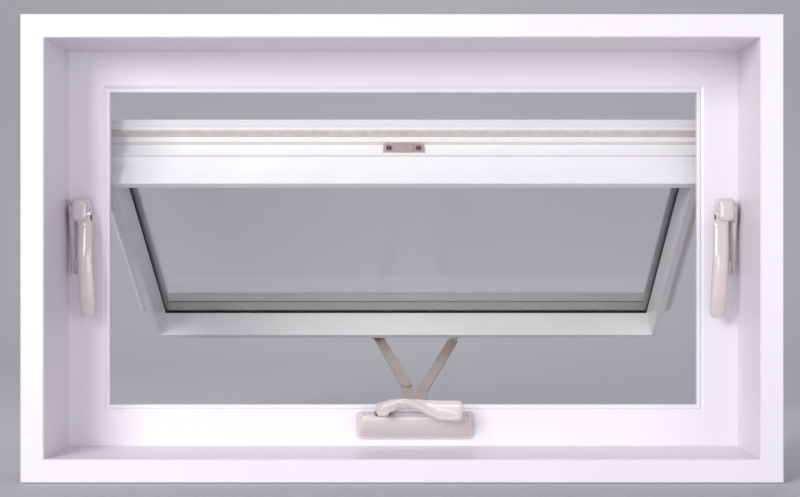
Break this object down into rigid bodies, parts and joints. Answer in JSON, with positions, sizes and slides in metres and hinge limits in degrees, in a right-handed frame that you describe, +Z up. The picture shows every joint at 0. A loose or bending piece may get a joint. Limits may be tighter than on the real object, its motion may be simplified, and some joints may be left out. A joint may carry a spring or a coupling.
{
  "type": "awning window with crank operator",
  "caption": "Wide white awning window in a cased opening: its sash swings out at the bottom on slide hinges, driven by a folding crank, with a lock on each jamb.",
  "frame": {"origin": "middle of the bottom face of the frame sill, in the wall plane where the casing backs on to the wall", "axes": "+Y points outdoors, +Z up, +X to the right as seen from the room"},
  "size_m": [0.941, 0.5944, 0.578],
  "materials": {
    "painted_trim": "satin white paint on trim boards",
    "white_vinyl": "satin white extruded vinyl",
    "white_seal": "soft white seal",
    "tan_seal": "soft tan weather seal",
    "black_rubber": "black",
    "clear_glass": "clear polished",
    "spacer_metal": "mill finish with fine perforations",
    "beige_plastic": "moulded beige",
    "shoe_plastic": "moulded",
    "hardware_gloss": "glossy warm white enamel",
    "arm_metal": "warm grey coated steel",
    "dark_metal": "dark coated steel",
    "gear_brass": "machined",
    "bright_steel": "brushed stainless"
  },
  "bodies": {
    "frame": {"casing_head": "painted_trim", "casing_sill": "painted_trim", "casing_left": "painted_trim", "casing_right": "painted_trim", "extension_head": "painted_trim", "extension_sill": "painted_trim", "extension_left": "painted_trim", "extension_right": "painted_trim", "frame_head": "white_vinyl", "frame_sill": "white_vinyl", "frame_jamb_left": "white_vinyl", "frame_jamb_right": "white_vinyl", "frame_seal": "white_seal", "hinge_screws": "bright_steel", "hinge_track_left": "bright_steel", "hinge_track_right": "bright_steel", "operator_housing": "dark_metal", "operator_cover": "hardware_gloss", "crank_hub": "hardware_gloss", "lock_case_left": "hardware_gloss", "lock_case_right": "hardware_gloss"},
    "support_arm_left": {"support_arm_left": "bright_steel"},
    "support_arm_right": {"support_arm_right": "bright_steel"},
    "sash": {"sash_arm_left": "bright_steel", "sash_arm_right": "bright_steel", "sash_head_rail": "white_vinyl", "sash_bottom_rail": "white_vinyl", "sash_stile_left": "white_vinyl", "sash_stile_right": "white_vinyl", "glazing_bead_head": "white_vinyl", "glazing_bead_bottom": "white_vinyl", "glazing_bead_left": "white_vinyl", "glazing_bead_right": "white_vinyl", "glass_inner": "clear_glass", "glass_outer": "clear_glass", "spacer_bar": "spacer_metal", "edge_sealant": "black_rubber", "glazing_gasket": "black_rubber", "setting_blocks": "black_rubber", "sash_seal": "tan_seal", "snubber_plate": "beige_plastic", "sash_screws": "bright_steel", "sash_bracket_left": "dark_metal", "sash_bracket_right": "dark_metal"},
    "shoe_left": {"hinge_shoe_left": "shoe_plastic"},
    "shoe_right": {"hinge_shoe_right": "shoe_plastic"},
    "worm_shaft": {"worm_shaft": "bright_steel"},
    "worm_wheel": {"worm_wheel": "gear_brass"},
    "arm_carrier": {"arm_carrier": "dark_metal"},
    "drive_arm_left": {"drive_arm_left": "arm_metal"},
    "drive_arm_right": {"drive_arm_right": "arm_metal"},
    "drive_link_left": {"drive_link_left": "arm_metal"},
    "drive_link_right": {"drive_link_right": "arm_metal"},
    "crank_lever": {"crank_lever": "hardware_gloss"},
    "crank_knob": {"crank_knob": "hardware_gloss"},
    "lock_lever_left": {"lock_lever_left": "hardware_gloss"},
    "lock_lever_right": {"lock_lever_right": "hardware_gloss"},
    "lock_cam_left": {"lock_cam_left": "bright_steel"},
    "lock_cam_right": {"lock_cam_right": "bright_steel"}
  },
  "joints": [
    {"name": "sash_drive", "type": "hinge", "parent": "frame", "child": "support_arm_left", "pos_m": [-0.414, 0.177, 0.3035], "axis": [1, 0, 0], "range_deg": [0, 58]},
    {"name": "sash_tilt", "type": "hinge", "parent": "support_arm_left", "child": "sash", "pos_m": [-0.414, 0.24993, 0.34907], "axis": [1, 0, 0], "range_deg": [-116.01, 0]},
    {"name": "shoe_turn_left", "type": "hinge", "parent": "sash", "child": "shoe_left", "pos_m": [-0.43, 0.177, 0.39465], "axis": [1, 0, 0], "range_deg": [0, 58.01]},
    {"name": "shoe_turn_right", "type": "hinge", "parent": "sash", "child": "shoe_right", "pos_m": [0.43, 0.177, 0.39465], "axis": [1, 0, 0], "range_deg": [0, 58.01]},
    {"name": "support_turn_right", "type": "hinge", "parent": "frame", "child": "support_arm_right", "pos_m": [0.414, 0.177, 0.3035], "axis": [1, 0, 0], "range_deg": [0, 58.01]},
    {"name": "carrier_tilt", "type": "hinge", "parent": "frame", "child": "arm_carrier", "pos_m": [0.014, 0.162, 0.0405], "axis": [1, 0, 0], "range_deg": [-19.16, 0]},
    {"name": "arm_swing_right", "type": "hinge", "parent": "arm_carrier", "child": "drive_arm_right", "pos_m": [0.014, 0.16501, 0.0294], "axis": [0, -0.2613, 0.9652], "range_deg": [0, 94.23]},
    {"name": "link_swing_right", "type": "hinge", "parent": "drive_arm_right", "child": "drive_link_right", "pos_m": [0.02618, 0.32432, 0.07253], "axis": [0, -0.2613, 0.9652], "range_deg": [-176.59, 0]},
    {"name": "arm_swing_left", "type": "hinge", "parent": "arm_carrier", "child": "drive_arm_left", "pos_m": [0.014, 0.16501, 0.0294], "axis": [0, -0.2613, 0.9652], "range_deg": [-94.23, 0]},
    {"name": "link_swing_left", "type": "hinge", "parent": "drive_arm_left", "child": "drive_link_left", "pos_m": [0.00182, 0.32432, 0.07253], "axis": [0, -0.2613, 0.9652], "range_deg": [0, 176.59]},
    {"name": "worm_spin", "type": "hinge", "parent": "frame", "child": "worm_shaft", "pos_m": [-0.026, 0.137, 0.048], "axis": [0, 0.9397, -0.342], "range_deg": [0, 3190.01]},
    {"name": "wheel_spin", "type": "hinge", "parent": "frame", "child": "worm_wheel", "pos_m": [-0.0094, 0.137, 0.0455], "axis": [0, 0, 1], "range_deg": [0, 145.01]},
    {"name": "crank_fold", "type": "hinge", "parent": "frame", "child": "crank_lever", "pos_m": [-0.026, 0.077, 0.069], "axis": [0, 0, -1], "range_deg": [0, 150]},
    {"name": "knob_spin", "type": "hinge", "parent": "crank_lever", "child": "crank_knob", "pos_m": [0.066, 0.077, 0.066], "axis": [0, 1, 0], "continuous": true},
    {"name": "lock_swing_left", "type": "hinge", "parent": "frame", "child": "lock_lever_left", "pos_m": [-0.412, 0.092, 0.319], "axis": [-1, 0, 0], "range_deg": [0, 120]},
    {"name": "cam_turn_left", "type": "hinge", "parent": "frame", "child": "lock_cam_left", "pos_m": [-0.416, 0.138, 0.291], "axis": [1, 0, 0], "range_deg": [-90.01, 0]},
    {"name": "lock_swing_right", "type": "hinge", "parent": "frame", "child": "lock_lever_right", "pos_m": [0.412, 0.092, 0.319], "axis": [-1, 0, 0], "range_deg": [0, 120]},
    {"name": "cam_turn_right", "type": "hinge", "parent": "frame", "child": "lock_cam_right", "pos_m": [0.416, 0.138, 0.291], "axis": [1, 0, 0], "range_deg": [-90.01, 0]}
  ],
  "couplings": [
    {"joint": "sash_tilt", "follows": "sash_drive", "ratio": -2},
    {"joint": "shoe_turn_left", "follows": "sash_drive", "ratio": 1},
    {"joint": "shoe_turn_right", "follows": "sash_drive", "ratio": 1},
    {"joint": "support_turn_right", "follows": "sash_drive", "ratio": 1},
    {"joint": "carrier_tilt", "follows": "sash_drive", "ratio": -0.33016},
    {"joint": "arm_swing_right", "follows": "sash_drive", "ratio": 1.6245},
    {"joint": "link_swing_right", "follows": "sash_drive", "ratio": -3.0445},
    {"joint": "arm_swing_left", "follows": "sash_drive", "ratio": -1.6245},
    {"joint": "link_swing_left", "follows": "sash_drive", "ratio": 3.0445},
    {"joint": "worm_spin", "follows": "sash_drive", "ratio": 55},
    {"joint": "wheel_spin", "follows": "sash_drive", "ratio": 2.5},
    {"joint": "cam_turn_left", "follows": "lock_swing_left", "ratio": -0.75},
    {"joint": "cam_turn_right", "follows": "lock_swing_right", "ratio": -0.75}
  ]
}
